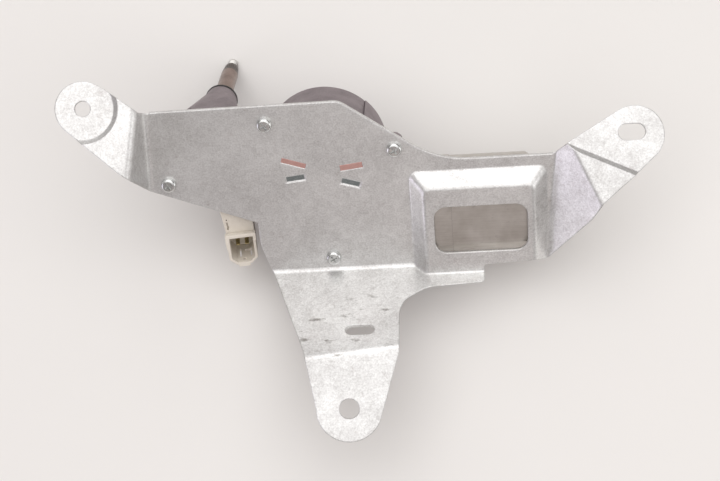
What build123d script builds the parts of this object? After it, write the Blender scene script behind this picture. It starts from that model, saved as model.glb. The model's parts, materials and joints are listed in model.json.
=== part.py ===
"""Tailgate wiper motor on a three-legged pressed steel bracket, in millimetres.

Every sub-part is drawn in the bracket's own frame: the flat of the bracket is the XY plane,
its upper face is z = 0, the worm wheel turns about Z, and the motor lies along X. The last
step turns each sub-part into the pose in which the unit lies on a bench.
"""

import os
from math import atan2, cos, degrees, hypot, radians, sin, sqrt, tan

from build123d import *

# ------------------------------------------------------------------ driving dimensions
# Bracket
sheet = 2.0                         # steel thickness
bend_inside = 3.0                   # inside radius of the folds
stamp_inside = 1.5                  # inside radius of the pressed pocket
arm_level = 20.84                   # upper face of the two arms, along the pad normal
seat_recess = 2.5                   # the mounting pads lie this far below the arms
pad_normal = (0.0839, 0.4619, 0.8829)
pocket_height = 7.0
pocket_left, pocket_right, pocket_top = 45.5, 117.5, -3.0
pocket_corner = 6.5
window_size, window_centre, window_corner = (49.4, 27.6), (82.2, -34.8), 6.6
left_eye, left_eye_radius, left_hole = (-119.1, 42.9), 14.2, 8.0
right_eye, right_eye_radius = (162.8, 3.2), 15.3
right_slot, right_slot_centre = (14.3, 8.4), (161.3, 4.8)
foot_eye, foot_eye_radius, foot_hole = (2.6, -123.6), 17.2, 10.4
leg_slot, leg_slot_centre = (15.5, 7.0), (16.2, -45.9)
flat_right = 131.0                  # the flat ends under the right arm's wall
fold_line = -59.0                   # where the leg folds up from the flat
screw_spots = [(-27.6, 28.9), (38.8, 11.0), (-82.1, -2.5), (1.9, -51.3)]
bar_marks = [(-14.6, 5.9, 13.4, 2.9, -19), (15.6, 2.3, 12.2, 3.3, 7)]
frame_marks = [(-14.5, -2.9, 11.0, 4.2, 6), (14.6, -7.1, 11.0, 4.2, -17)]

# Gears
module = 1.0
wheel_teeth, worm_starts = 55, 1
wheel_radius = module * wheel_teeth / 2
worm_radius = 6.0
centre_drop = wheel_radius + worm_radius     # worm axis below the wheel axis
motor_z = -21.0                              # height of the worm and of the wheel rim
pinion_teeth, sector_teeth = 14, 42
pinion_radius, sector_radius = module * pinion_teeth / 2, module * sector_teeth / 2
tooth_play = 0.3

# Places of the axes on the flat
output_axis = (-56.0, 25.7)
sector_bearing = -48.2                       # direction from the output shaft to the sector
sector_axis = (output_axis[0] + (pinion_radius + sector_radius) * cos(radians(sector_bearing)),
               output_axis[1] + (pinion_radius + sector_radius) * sin(radians(sector_bearing)))
lever_length, lever_bearing = 20.0, -53.1
rod_joint = (sector_axis[0] + lever_length * cos(radians(lever_bearing)),
             sector_axis[1] + lever_length * sin(radians(lever_bearing)))
crank_radius = 6.2
crank_bearing = degrees(atan2(-rod_joint[1], -rod_joint[0]))
crank_spot = (crank_radius * cos(radians(crank_bearing)),
              crank_radius * sin(radians(crank_bearing)))

# Gear case
gasket = 0.6
case_top = -sheet - gasket
chamber_floor, floor_thick = -16.5, 2.6
wall = 2.2
well_inner, well_floor, case_back = 28.9, -38.5, -41.5
well_outer = well_inner + 3.6
lobe_low = -12.0                    # underside of the two screw lobes outside the chamber
tunnel_inner, tunnel_outer = 7.6, 10.2
tunnel_left, tunnel_right = -36.0, 54.0
sleeve_end, sleeve_radius = -44.0, 8.7

# Motor
can_radius, can_flat, can_wall = 27.0, 24.0, 1.8
ear_reach, ear_from, ear_spread = can_radius + 4.4, -75, 235
spring_foot = 15.9                  # brush springs start this far from the motor axis
collar_left, can_left, can_right = 53.0, 67.0, 111.0
armature_shaft_radius = 2.5

# Connector
neck_width, neck_length, neck_height, neck_low = 11.0, 21.0, 9.0, -15.8
neck_centre = (-48.5, -28.0)

# Output shaft
shaft_radius = 4.75
tip_z = -101.0

# Fits
turning = 0.03                      # radial clearance of a turning fit
gap = 0.5                           # air between pieces that pass each other
drop_in = 0.05                      # radial clearance of a fixed, dropped-in piece

# Pose on the bench
bench_lean = 38.5
bench_shift = (-22.748, 28.295, 64.352)
bench = Location(bench_shift, (bench_lean, 0, 0))

reach = 500.0                       # larger than the unit, for cutting blocks


def save(part, name):
    """Turn a finished sub-part into the bench pose and write it."""
    placed = part.moved(bench)
    placed.label = name
    export_step(placed, f"parts/{name}.step")


# ------------------------------------------------------------------ shared planes
flat = Plane.XY
pad_base = Plane(origin=(0, 0, 0), x_dir=(pad_normal[2], 0, -pad_normal[0]), z_dir=pad_normal)
arms = pad_base.offset(arm_level)
pads = pad_base.offset(arm_level - seat_recess)
leg_wall = Plane(origin=(0, fold_line, 0), x_dir=(1, 0, 0), z_dir=(0, 0.9643, 0.2648))
left_wall = Plane(origin=(-91.5, 16.7, 0), x_dir=(0.1916, 0, -0.9794),
                  z_dir=(0.9794, -0.0634, 0.1916))
right_wall = Plane(origin=(122.7, 4.2, 0), x_dir=(0.7778, 0, 0.6257),
                   z_dir=(-0.6257, 0.0596, 0.7778))

# The right pad drops away from its arm along a straight 45 degree step.
step_start, step_end = (137.9, -3.3), (162.2, -15.9)
step_length = hypot(step_end[0] - step_start[0], step_end[1] - step_start[1])
along_x = (step_end[0] - step_start[0]) / step_length
along_y = (step_end[1] - step_start[1]) / step_length
step_along = pads.x_dir * along_x + pads.y_dir * along_y
step_across = pads.y_dir * along_x - pads.x_dir * along_y
step = Plane(origin=pads.from_local_coords((step_start[0], step_start[1], 0)), x_dir=step_along,
             z_dir=(pads.z_dir + step_across) * sqrt(0.5))

motor_face = Plane(origin=(0, -centre_drop, motor_z), x_dir=(0, 1, 0), z_dir=(1, 0, 0))


# ------------------------------------------------------------------ bracket
def under(plane, level):
    """Everything below a plane that is shifted along its normal."""
    with BuildPart(plane.offset(level)) as block:
        Box(reach, reach, reach, align=(Align.CENTER, Align.CENTER, Align.MAX))
    return block.part


def fold(part, first, second, level):
    """The edge along which two shifted planes meet."""
    faces = (first.offset(level), second.offset(level))
    return [edge for edge in part.edges()
            if all(abs(face.to_local_coords(edge @ t).Z) < 1e-4
                   for face in faces for t in (0, 0.5, 1))]


def press_die(level):
    """The solid below the sheet's surface: level 0 is its upper face, -sheet its lower."""
    valley, ridge = bend_inside - level, bend_inside + sheet + level
    stamp_valley, stamp_ridge = stamp_inside - level, stamp_inside + sheet + level
    draft_grow = -level * tan(radians(22.5))

    with BuildPart() as leg:
        add(under(leg_wall, level))
        add(under(pads, level), mode=Mode.INTERSECT)
        fillet(fold(leg.part, leg_wall, pads, level), ridge)

    with BuildPart() as left_arm:
        add(under(left_wall, level))
        add(under(arms, level), mode=Mode.INTERSECT)
        fillet(fold(left_arm.part, left_wall, arms, level), ridge)
        with BuildSketch(pads.offset(level)):
            with Locations(left_eye):
                Circle(left_eye_radius + 1.8 + draft_grow)
        extrude(amount=60, taper=-45, mode=Mode.SUBTRACT)

    with BuildPart() as right_arm:
        add(under(pads, level))
        add(under(step, level))
        add(under(arms, level), mode=Mode.INTERSECT)
        add(under(right_wall, level), mode=Mode.INTERSECT)
        fillet(fold(right_arm.part, right_wall, arms, level), ridge)

    with BuildPart() as pocket:
        with BuildSketch(flat.offset(level)):
            with Locations(((pocket_left + pocket_right) / 2, pocket_top - 65)):
                Rectangle(pocket_right - pocket_left - 2 * draft_grow, 130 - 2 * draft_grow)
        extrude(amount=pocket_height, taper=45)
        corners = [edge for edge in pocket.edges() if abs((edge @ 0).Z - (edge @ 1).Z) > 1]
        fillet(corners, pocket_corner)
        fillet(pocket.faces().sort_by(Axis.Z)[-1].edges(), stamp_ridge)

    with BuildPart() as die:
        add(under(flat, level))
        add(under(Plane.YZ, flat_right), mode=Mode.INTERSECT)
        add(right_arm.part)
        add(leg.part)
        add(left_arm.part)
        for wall_plane in (right_wall, leg_wall, left_wall):
            fillet(fold(die.part, flat, wall_plane, level), valley)
        add(pocket.part)
        foot_line = [edge for edge in die.edges()
                     if all(abs((edge @ t).Z - level) < 1e-4 and 35 < (edge @ t).X < 130
                            and fold_line - 3 < (edge @ t).Y < 0 for t in (0, 0.5, 1))]
        fillet(foot_line, stamp_valley)
    return die.part


with BuildPart() as mounting_bracket:
    add(press_die(0))
    add(press_die(-sheet), mode=Mode.SUBTRACT)

    # Outline of the arms, pads, leg and lower edge, cut along the pad normal.
    with BuildSketch(pad_base.offset(-120)) as outline:
        with BuildLine():
            Polyline((-110.3, 54.2), (-106.7, 51.6), (-91.3, 38.6), (-86.5, 38.1), (-86.5, 52),
                     (119.5, 52), (119.5, -1.5), (121.9, -1.6), (128.5, 2.9), (156.0, 17.0), (171.0, -9.7),
                     (163.2, -15.9), (142.9, -30.9), (137.6, -38.6), (116.6, -57.2),
                     (82.3, -57.2), (81.4, -66.2), (50, -66.2), (34.4, -72.6), (30.8, -97),
                     (19.2, -128.0), (-13.6, -128.9), (-18.4, -92), (-32.7, -48.5),
                     (-37, -36), (-37.0, -23.3), (-92.4, -1.2), (-104.6, 8.8),
                     (-129.6, 33.2), close=True)
        make_face()
        soft_radius = {(137.6, -38.6): 20, (116.6, -57.2): 6, (81.4, -66.2): 2.5,
                       (50, -66.2): 24, (34.4, -72.6): 12, (-32.7, -48.5): 30,
                       (-37, -36): 20, (-37.0, -23.3): 5}
        for spot, size in soft_radius.items():
            corner = min(outline.vertices(), key=lambda v: hypot(
                pad_base.to_local_coords(Vector(*v)).X - spot[0],
                pad_base.to_local_coords(Vector(*v)).Y - spot[1]))
            fillet(corner, size)
        for spot, radius in ((left_eye, left_eye_radius), (right_eye, right_eye_radius),
                             (foot_eye, foot_eye_radius)):
            with Locations(spot):
                Circle(radius)
    extrude(amount=240, mode=Mode.INTERSECT)

    # Upper edge of the flat, cut square to the flat.
    with BuildSketch(flat.offset(-120)) as top_edge:
        with BuildLine():
            Polyline((-400, -400), (-400, 300), (-88, 300), (-88, 38.9), (11.8, 39.4),
                     (61.5, 3.2), (121, 3.2), (121, 300), (400, 300), (400, -400), close=True)
        make_face()
        for spot, size in (((11.8, 39.4), 9), ((61.5, 3.2), 50)):
            fillet(min(top_edge.vertices(), key=lambda v: hypot(v.X - spot[0], v.Y - spot[1])),
                   size)
    extrude(amount=360, mode=Mode.INTERSECT)

    # Mounting holes, square to the pads.
    with BuildSketch(pad_base.offset(-20)):
        with Locations(left_eye):
            Circle(left_hole / 2)
        with Locations(foot_eye):
            Circle(foot_hole / 2)
        with Locations(right_slot_centre):
            SlotOverall(*right_slot, rotation=-3)
    extrude(amount=80, mode=Mode.SUBTRACT)
    with BuildSketch(leg_wall):
        with Locations(leg_slot_centre):
            SlotOverall(*leg_slot)
    extrude(amount=4, both=True, mode=Mode.SUBTRACT)

    # Window over the motor, holes for the cover screws, stamped marks.
    with BuildSketch(flat.offset(pocket_height - sheet - 1)):
        with Locations(window_centre):
            RectangleRounded(*window_size, window_corner)
    extrude(amount=sheet + 2, mode=Mode.SUBTRACT)
    with BuildSketch(flat):
        with Locations(*screw_spots):
            Circle(2.0 + drop_in)
    extrude(amount=-sheet - 1, mode=Mode.SUBTRACT)
    for x, y, length, width, turn in bar_marks + frame_marks:
        with BuildSketch(flat.offset(-0.3)):
            with Locations(Location((x, y, 0), (0, 0, turn))):
                Rectangle(length, width)
        extrude(amount=1, mode=Mode.SUBTRACT)
    for x, y, length, width, turn in frame_marks:
        with BuildSketch(flat.offset(-0.6)):
            with Locations(Location((x, y, 0), (0, 0, turn))):
                Rectangle(length - 1.4, width - 1.4)
        extrude(amount=1, mode=Mode.SUBTRACT)


# ------------------------------------------------------------------ gear case
def well_to_boss(spot, width):
    """A straight web from the wheel well to a boss, as a sketch slot."""
    with Locations(Location((spot[0] / 2, spot[1] / 2, 0),
                            (0, 0, degrees(atan2(spot[1], spot[0]))))):
        SlotOverall(hypot(*spot) + width, width)


def case_plan(shrink=0.0, lobes=False):
    """Plan of the case seen from the bracket: wheel well plus the chamber of the levers."""
    with BuildSketch() as plan:
        with BuildLine():
            Polyline((-88, -4), (-84, 4), (-67, 34.8), (-47, 38.2), (-43, 30.6), (4, 30.5),
                     (4, -30.5), (-24, -29.5), (-37, -25.6), (-82, -8.6), close=True)
        make_face()
        if shrink:
            offset(amount=-shrink, kind=Kind.INTERSECTION, mode=Mode.REPLACE)
        fillet(plan.vertices(), 5 - shrink)
        Circle(well_outer - shrink)
        if lobes:
            with Locations(screw_spots[0]):
                Circle(5.6)
            well_to_boss(screw_spots[1], 8.8)
    return plan.sketch


def can_profile(radius, flat_half):
    """Round with two flats, the section of the motor can."""
    with BuildSketch() as section:
        Circle(radius)
        Rectangle(2 * radius, 2 * flat_half, mode=Mode.INTERSECT)
    return section.sketch


def ears(radius):
    """The two screw ears of the motor joint, in the open sketch."""
    with PolarLocations(ear_reach, 2, start_angle=ear_from, angular_range=ear_spread,
                        endpoint=True):
        Circle(radius)
        with Locations((-4, 0)):
            Rectangle(8, 2 * radius)


with BuildPart() as cover_gasket:
    with BuildSketch(flat.offset(case_top)):
        add(case_plan(lobes=True))
        add(case_plan(wall), mode=Mode.SUBTRACT)
        with Locations(*screw_spots[:3]):
            Circle(4.2)
            Circle(2.0 + drop_in, mode=Mode.SUBTRACT)
    extrude(amount=gasket)

with BuildPart() as gear_case:
    # Lever chamber and wheel well
    with BuildSketch(flat.offset(case_top)):
        add(case_plan())
    extrude(amount=chamber_floor - floor_thick - case_top)
    with BuildSketch(flat.offset(case_top)):
        add(case_plan(lobes=True))
    extrude(amount=lobe_low - case_top)
    with BuildSketch(flat.offset(case_top)):
        Circle(well_outer)
    extrude(amount=case_back - case_top)
    fillet(gear_case.faces().sort_by(Axis.Z)[0].edges(), 3)
    # Worm tunnel, collar towards the motor, boss of the fourth screw
    with BuildSketch(motor_face.offset(tunnel_left)):
        Circle(tunnel_outer)
    extrude(amount=tunnel_right - tunnel_left)
    with BuildSketch(motor_face.offset(collar_left)):
        add(can_profile(can_radius, can_flat))
        ears(4.6)
    extrude(amount=can_left - collar_left)
    with BuildSketch(flat.offset(case_top)):
        with Locations(screw_spots[3]):
            Circle(5.2)
        with Locations((screw_spots[3][0], screw_spots[3][1] + 8)):
            Rectangle(7, 16)
    extrude(amount=-17)
    # Flared sleeve of the output shaft
    with BuildSketch(flat.offset(chamber_floor - 1)):
        with Locations((output_axis[0] - 3.5, output_axis[1] - 1.5)):
            Ellipse(17.5, 10.5)
    with BuildSketch(flat.offset(sleeve_end + 3)):
        with Locations(output_axis):
            Circle(sleeve_radius)
    loft()
    with BuildSketch(flat.offset(sleeve_end)):
        with Locations(output_axis):
            Circle(sleeve_radius)
    extrude(amount=3)
    # Thicker quarter of the well, with a seam where it starts
    with BuildSketch(flat.offset(case_back + 3)):
        Circle(well_outer + 0.7)
        with Locations((well_outer * 0.72 + reach / 2, 0)):
            Rectangle(reach, reach, mode=Mode.INTERSECT)
    extrude(amount=case_top - case_back - 3)
    # Stiffening ribs on the low side of the well
    with BuildSketch(flat.offset(case_back + 3)):
        with PolarLocations(well_outer - 1, 3, start_angle=165, angular_range=60):
            Rectangle(7, 2.4)
    extrude(amount=22)

    # Hollows
    with BuildSketch(flat.offset(case_top)):
        add(case_plan(wall))
    extrude(amount=chamber_floor - case_top, mode=Mode.SUBTRACT)
    with BuildSketch(flat.offset(case_top)):
        Circle(well_inner)
    extrude(amount=well_floor - case_top, mode=Mode.SUBTRACT)
    # Screw bosses, bearing bosses inside
    with BuildSketch(flat.offset(case_top)):
        with Locations(*screw_spots[:3]):
            Circle(4.2)
    extrude(amount=lobe_low - case_top)
    with BuildSketch(flat.offset(case_top)):
        with Locations(screw_spots[2]):
            Circle(4.6)
    extrude(amount=chamber_floor - case_top)
    with BuildSketch(flat.offset(chamber_floor - 1)):
        with Locations(output_axis):
            Circle(9)
    extrude(amount=-13.7 - chamber_floor + 1)
    with BuildSketch(flat.offset(chamber_floor - 1)):
        with Locations(sector_axis):
            Circle(6)
    extrude(amount=4.6)
    with BuildSketch(flat.offset(well_floor - 1)):
        Circle(7.5)
    extrude(amount=3.2)
    # Bores
    with BuildSketch(flat.offset(-10)):
        with Locations(output_axis):
            Circle(6.5)
    extrude(amount=-40, mode=Mode.SUBTRACT)
    with BuildSketch(motor_face.offset(-29.0)):
        Circle(tunnel_inner)
    extrude(amount=collar_left + 3 + 29.0, mode=Mode.SUBTRACT)
    with BuildSketch(motor_face.offset(tunnel_left)):
        Circle(4.0)
    extrude(amount=3.8, mode=Mode.SUBTRACT)
    with BuildSketch(motor_face.offset(tunnel_left)):
        Circle(2.0)
    extrude(amount=12, mode=Mode.SUBTRACT)
    with BuildSketch(motor_face.offset(collar_left + 2.4)):
        add(can_profile(can_radius - 2.2, can_flat - 2.2))
    extrude(amount=can_left - collar_left, mode=Mode.SUBTRACT)
    with BuildSketch(motor_face.offset(can_left - 9)):
        with PolarLocations(ear_reach, 2, start_angle=ear_from, angular_range=ear_spread,
                            endpoint=True):
            Circle(2.0)
    extrude(amount=9, mode=Mode.SUBTRACT)
    with BuildSketch(flat.offset(case_top)):
        with Locations(*screw_spots):
            Circle(2.0)
    extrude(amount=-10, mode=Mode.SUBTRACT)
    with BuildSketch(flat.offset(-12)):
        with Locations(sector_axis):
            Circle(3.0)
    extrude(amount=-5.5, mode=Mode.SUBTRACT)
    with BuildSketch(flat.offset(well_floor + 2.2)):
        Circle(3.5)
    extrude(amount=-4.0, mode=Mode.SUBTRACT)
    # Opening in the chamber wall for the neck of the connector
    with BuildSketch(flat.offset(neck_low)):
        with Locations(neck_centre):
            Rectangle(neck_width, neck_length)
    extrude(amount=neck_height, mode=Mode.SUBTRACT)


# ------------------------------------------------------------------ fasteners
with BuildPart() as cover_screws:
    with BuildSketch(flat):
        with Locations(*screw_spots):
            Circle(4.05)
    extrude(amount=2.9)
    rims = [edge for edge in cover_screws.edges().filter_by(GeomType.CIRCLE)
            if abs((edge @ 0).Z - 2.9) < 1e-6]
    fillet(rims, 1.6)
    with BuildSketch(flat):
        with Locations(*screw_spots):
            Circle(2.0)
    extrude(amount=-11.5)
    with BuildSketch(flat.offset(3)):
        with Locations(*[Location((x, y, 0), (0, 0, 30)) for x, y in screw_spots]):
            Rectangle(4.2, 0.9)
            Rectangle(0.9, 4.2)
    extrude(amount=-1.6, mode=Mode.SUBTRACT)


# ------------------------------------------------------------------ gears
def spur(teeth, radius, outside, root, start, count, width):
    """A sketch of straight-sided teeth around the origin, from the angle start."""
    half_root = width * 0.5 + (radius - root) * 0.36
    half_tip = width * 0.5 - (outside - radius) * 0.36
    for index in range(count):
        with Locations(Rotation(0, 0, start + index * 360 / teeth)):
            Polygon((root - 0.6, -half_root - 0.1), (outside, -half_tip), (outside, half_tip),
                    (root - 0.6, half_root + 0.1), align=None)


pitch_width = module * 3.1416 / 2 - tooth_play

with BuildPart() as worm_wheel:
    with BuildSketch(flat.offset(motor_z - 3.5)):
        Circle(wheel_radius - 1.0)
        spur(wheel_teeth, wheel_radius, wheel_radius + 0.8, wheel_radius - 1.0, -90,
             wheel_teeth, pitch_width)
    extrude(amount=7)
    with BuildSketch(flat.offset(-34)):
        Circle(9.5)
    extrude(amount=17)
    for side in (-1, 1):
        with BuildSketch(flat.offset(motor_z + side * 3.5)):
            Circle(24)
            Circle(9.5, mode=Mode.SUBTRACT)
        extrude(amount=-side * 1.8, mode=Mode.SUBTRACT)
    with BuildSketch(flat.offset(-40)):
        Circle(3.5 + turning)
    extrude(amount=40, mode=Mode.SUBTRACT)
    with BuildSketch(flat.offset(-22)):
        with Locations(crank_spot):
            Circle(1.9)
    extrude(amount=10, mode=Mode.SUBTRACT)

with BuildPart() as crank_pin:
    with BuildSketch(flat.offset(-22)):
        with Locations(crank_spot):
            Circle(1.9)
    extrude(amount=22 - 15.1)

with BuildPart() as wheel_axle:
    with BuildSketch(flat.offset(well_floor - 1.8)):
        Circle(3.5)
    extrude(amount=-well_floor + 1.8 - 17.2)

with BuildPart() as wheel_washer:
    with BuildSketch(flat.offset(-35.1)):
        Circle(7.5)
        Circle(3.5 + turning, mode=Mode.SUBTRACT)
    extrude(amount=0.9)

with BuildPart() as park_disc:
    with BuildSketch(flat.offset(-31)):
        Circle(19)
        Circle(9.6, mode=Mode.SUBTRACT)
        with Locations(Rotation(0, 0, 40)):
            with Locations((17, 0)):
                Rectangle(6, 9, mode=Mode.SUBTRACT)
    extrude(amount=0.8)
    with BuildSketch(flat.offset(-31)):
        with PolarLocations(12, 3):
            Circle(1.5)
    extrude(amount=31 + motor_z - 1.7)

with BuildPart() as output_shaft:
    with BuildSketch(flat.offset(-82)):
        with Locations(output_axis):
            Circle(shaft_radius)
    extrude(amount=82 - 4.2)
    with BuildSketch(flat.offset(-82)):
        with Locations(output_axis):
            Circle(shaft_radius)
    extrude(amount=-9.5, taper=4.5)
    with BuildSketch(flat.offset(-91)):
        with Locations(output_axis):
            Circle(3.0)
    extrude(amount=tip_z + 91)
    chamfer(output_shaft.faces().sort_by(Axis.Z)[0].edges(), 0.9)
    with BuildSketch(flat.offset(-5.9)):
        with Locations(output_axis):
            Circle(shaft_radius + 1)
            Circle(shaft_radius - 0.7, mode=Mode.SUBTRACT)
    extrude(amount=0.8, mode=Mode.SUBTRACT)
    with BuildSketch(flat.offset(-90.9)) as flutes:
        with Locations(output_axis):
            with PolarLocations(shaft_radius - 0.35, 24):
                RegularPolygon(0.42, 3)
    extrude(amount=8, mode=Mode.SUBTRACT)


def turned(spot, bearing, level):
    """A level plane with its origin on an axis and its x direction along a bearing."""
    return Plane(origin=(*spot, level), z_dir=(0, 0, 1),
                 x_dir=(cos(radians(bearing)), sin(radians(bearing)), 0))


with BuildPart() as output_pinion:
    with BuildSketch(turned(output_axis, sector_bearing, -12.5)):
        Circle(pinion_radius - 1.1)
        spur(pinion_teeth, pinion_radius, pinion_radius + 0.8, pinion_radius - 1.1, 0,
             pinion_teeth, pitch_width)
        Circle(shaft_radius, mode=Mode.SUBTRACT)
    extrude(amount=6.4)

with BuildPart() as thrust_washer:
    with BuildSketch(flat.offset(-13.5)):
        with Locations(output_axis):
            Circle(7.4)
            Circle(shaft_radius + turning, mode=Mode.SUBTRACT)
    extrude(amount=0.8)

with BuildPart() as shaft_clip:
    with BuildSketch(flat.offset(-5.85)):
        with Locations(output_axis):
            Circle(6.6)
            Circle(shaft_radius - 0.7, mode=Mode.SUBTRACT)
            with Locations((-5, 0)):
                Rectangle(6, 3.4, mode=Mode.SUBTRACT)
    extrude(amount=0.7)

with BuildPart() as sleeve_bushes:
    for level in (-28.0, sleeve_end + 0.5):
        with BuildSketch(flat.offset(level)):
            with Locations(output_axis):
                Circle(6.5)
                Circle(shaft_radius + turning, mode=Mode.SUBTRACT)
        extrude(amount=12)

with BuildPart() as shaft_seal:
    with BuildSketch(flat.offset(sleeve_end - 2.4)):
        with Locations(output_axis):
            Circle(8.9)
            Circle(shaft_radius + 0.05, mode=Mode.SUBTRACT)
    extrude(amount=2.4)
    fillet(shaft_seal.faces().sort_by(Axis.Z)[0].edges().sort_by(SortBy.RADIUS)[-1], 1.0)

sector_hub, sector_top = 6.0, -7.0
with BuildPart() as sector_gear:
    facing = sector_bearing + 180
    with BuildSketch(turned(sector_axis, facing, sector_top - 4)):
        with BuildLine():
            sweep_arc = CenterArc((0, 0), sector_radius - 1.1, -17, 69)
            Line(sweep_arc @ 0, (0, 0))
            Line(sweep_arc @ 1, (0, 0))
        make_face()
        spur(sector_teeth, sector_radius, sector_radius + 0.8, sector_radius - 1.1,
             -1.5 * 360 / sector_teeth, 8, pitch_width)
        Circle(sector_hub)
        with BuildLine():
            inner_arc = CenterArc((0, 0), 14.5, 4, 27)
            outer_arc = CenterArc((0, 0), 9.5, 4, 27)
            Line(inner_arc @ 0, outer_arc @ 0)
            Line(inner_arc @ 1, outer_arc @ 1)
        make_face(mode=Mode.SUBTRACT)
    extrude(amount=4)
    with BuildSketch(turned(sector_axis, lever_bearing, sector_top - 4)):
        with Locations((lever_length / 2, 0)):
            Rectangle(lever_length, 8)
        with Locations((lever_length, 0)):
            Circle(4.8)
    extrude(amount=4)
    with BuildSketch(flat.offset(-20)):
        with Locations(sector_axis):
            Circle(3.0 + turning)
        with Locations(rod_joint):
            Circle(2.5)
    extrude(amount=20, mode=Mode.SUBTRACT)

with BuildPart() as sector_pin:
    with BuildSketch(flat.offset(-17.5)):
        with Locations(sector_axis):
            Circle(3.0)
    extrude(amount=17.5 - 6.2)

with BuildPart() as rod_pin:
    with BuildSketch(flat.offset(-15.4)):
        with Locations(rod_joint):
            Circle(2.5)
    extrude(amount=15.4 - 6.2)

rod_top = sector_top - 4 - 0.6
rod_length = hypot(*rod_joint) + crank_radius
with BuildPart() as connecting_rod:
    with BuildSketch(turned(rod_joint, crank_bearing, rod_top - 3)):
        with Locations((rod_length / 2, 0)):
            Rectangle(rod_length, 6)
        Circle(5.0)
        with Locations((rod_length, 0)):
            Circle(4.6)
    extrude(amount=3)
    with BuildSketch(turned(rod_joint, crank_bearing, rod_top)):
        with Locations((rod_length / 2, 0)):
            SlotOverall(rod_length - 14, 2.6)
    extrude(amount=-1, mode=Mode.SUBTRACT)
    with BuildSketch(turned(rod_joint, crank_bearing, -20)):
        Circle(2.5 + turning)
        with Locations((rod_length, 0)):
            Circle(1.9 + turning)
    extrude(amount=20, mode=Mode.SUBTRACT)


# ------------------------------------------------------------------ motor
worm_start = -module * 3.1416 * 4.5
with BuildPart() as worm_thread:
    with BuildLine():
        Helix(pitch=module * 3.1416, height=-2 * worm_start, radius=worm_radius - 1.2)
    with BuildSketch(Plane.XZ):
        with Locations((worm_radius - 1.2, 0)):
            Polygon((0, -0.95), (1.95, -0.36), (1.95, 0.36), (0, 0.95), align=None)
    sweep(is_frenet=True)

with BuildPart() as armature_shaft:
    with BuildSketch(motor_face.offset(-28.5)):
        Circle(armature_shaft_radius)
    extrude(amount=28.5 + 109)
    with BuildSketch(motor_face.offset(worm_start - 1)):
        Circle(worm_radius - 1.05)
    extrude(amount=-2 * worm_start + 2)
    add(worm_thread.part.moved(motor_face.offset(worm_start).location))

with BuildPart() as armature_core:
    with BuildSketch(motor_face.offset(75)):
        Circle(16.4)
        with PolarLocations(16.4, 8):
            Rectangle(9.5, 2.0, mode=Mode.SUBTRACT)
        with PolarLocations(11.2, 8):
            Circle(2.4, mode=Mode.SUBTRACT)
        Circle(armature_shaft_radius, mode=Mode.SUBTRACT)
    extrude(amount=22)

with BuildPart() as armature_windings:
    for start in (70.5, 97.0):
        with BuildSketch(motor_face.offset(start)):
            Circle(14.2)
            with PolarLocations(15.5, 8, start_angle=22.5):
                Circle(2.6, mode=Mode.SUBTRACT)
            Circle(5.4, mode=Mode.SUBTRACT)
        extrude(amount=4.5)
    with BuildSketch(motor_face.offset(74.9)):
        with PolarLocations(11.2, 8):
            Circle(2.2)
    extrude(amount=22.2)

with BuildPart() as commutator:
    with BuildSketch(motor_face.offset(57)):
        Circle(8.0)
        with PolarLocations(8.0, 8):
            Rectangle(1.6, 0.5, mode=Mode.SUBTRACT)
        Circle(armature_shaft_radius, mode=Mode.SUBTRACT)
    extrude(amount=10)
    with BuildSketch(motor_face.offset(67)):
        Circle(9.2)
        Circle(armature_shaft_radius, mode=Mode.SUBTRACT)
    extrude(amount=1.4)

with BuildPart() as armature_bushes:
    for start, length, outer in ((-27.0, 7.0, tunnel_inner), (30.0, 8.0, tunnel_inner)):
        with BuildSketch(motor_face.offset(start)):
            Circle(outer)
            Circle(armature_shaft_radius + turning, mode=Mode.SUBTRACT)
        extrude(amount=length)

with BuildPart() as rear_bush:
    with BuildSketch(motor_face.offset(103.5)):
        Circle(5.5)
        Circle(armature_shaft_radius + turning, mode=Mode.SUBTRACT)
    extrude(amount=7)
    fillet(rear_bush.edges().filter_by(GeomType.CIRCLE).sort_by(SortBy.RADIUS)[-2:], 1.2)

with BuildPart() as thrust_ball:
    with Locations((-30.35, -centre_drop, motor_z)):
        Sphere(1.8)

with BuildPart() as thrust_screw:
    with BuildSketch(motor_face.offset(-32.3)):
        Circle(4.0)
    extrude(amount=-7.5)
    chamfer(thrust_screw.faces().sort_by(Axis.X)[0].edges(), 0.7)
    with BuildSketch(motor_face.offset(-39.8)):
        Rectangle(8.5, 1.1)
    extrude(amount=1.6, mode=Mode.SUBTRACT)

with BuildPart() as motor_can:
    with BuildSketch(motor_face.offset(can_left)):
        add(can_profile(can_radius, can_flat))
    extrude(amount=can_right - can_left)
    fillet(motor_can.faces().sort_by(Axis.X)[-1].edges(), 4)
    with BuildSketch(motor_face.offset(can_right - 1)):
        Circle(8.2)
    extrude(amount=4.5)
    fillet(motor_can.faces().sort_by(Axis.X)[-1].edges(), 2)
    with BuildSketch(motor_face.offset(can_left)):
        ears(4.6)
    extrude(amount=2.0)
    with BuildSketch(motor_face.offset(can_left)):
        add(can_profile(can_radius - can_wall, can_flat - can_wall))
    extrude(amount=can_right - can_left - can_wall, mode=Mode.SUBTRACT)
    with BuildSketch(motor_face.offset(can_right - 3)):
        Circle(5.5)
    extrude(amount=4.6, mode=Mode.SUBTRACT)
    with BuildSketch(motor_face.offset(can_left - 1)):
        with PolarLocations(ear_reach, 2, start_angle=ear_from, angular_range=ear_spread,
                            endpoint=True):
            Circle(2.0)
    extrude(amount=4, mode=Mode.SUBTRACT)

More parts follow.
